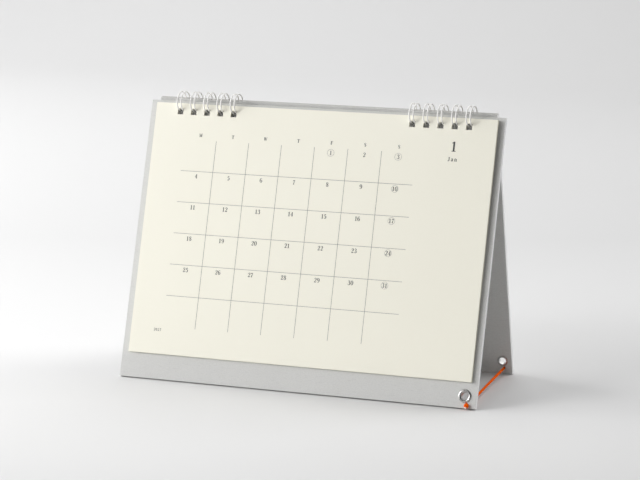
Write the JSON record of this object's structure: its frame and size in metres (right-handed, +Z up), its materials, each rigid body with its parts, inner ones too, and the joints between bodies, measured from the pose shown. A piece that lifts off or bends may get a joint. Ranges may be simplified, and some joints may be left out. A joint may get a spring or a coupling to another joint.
{
  "type": "desk calendar",
  "caption": "Standing A-frame desk calendar: month sheets on twin-loop wires between two leaning boards tied by a cord.",
  "frame": {"origin": "on the table, under the middle of the front board's width and halfway between the front and back extremes of the boards", "axes": "+X to the right along the boards' width as seen from the month side, +Y from the month side to the back, +Z up"},
  "size_m": [0.218, 0.0973, 0.1639],
  "materials": {
    "greyboard": "matte grey pulp board with fine pale fibres",
    "cream_paper": "matte uncoated cream paper",
    "print_ink": "matte dark grey print",
    "coated_wire": "satin white coating",
    "bright_metal": "bright nickel",
    "orange_cord": "round braided cord, slightly waxed"
  },
  "bodies": {
    "front": {"front_board": "greyboard", "ring_wire_left": "coated_wire", "ring_wire_right": "coated_wire", "front_eyelet": "bright_metal", "limit_cord": "orange_cord", "front_knot": "orange_cord"},
    "back": {"back_board": "greyboard", "back_eyelet": "bright_metal", "back_knot": "orange_cord"},
    "pages": {"page_block": "cream_paper", "month_grid": "print_ink"}
  },
  "joints": [
    {"name": "back_hinge", "type": "hinge", "parent": "front", "child": "back", "pos_m": [0, 0.00182, 0.15686], "axis": [-1, 0, 0], "range_deg": [0, 30], "deforming": ["limit_cord"]},
    {"name": "page_hinge", "type": "hinge", "parent": "front", "child": "pages", "pos_m": [0, 0.00182, 0.15686], "axis": [-1, 0, 0], "range_deg": [0, 160]}
  ]
}
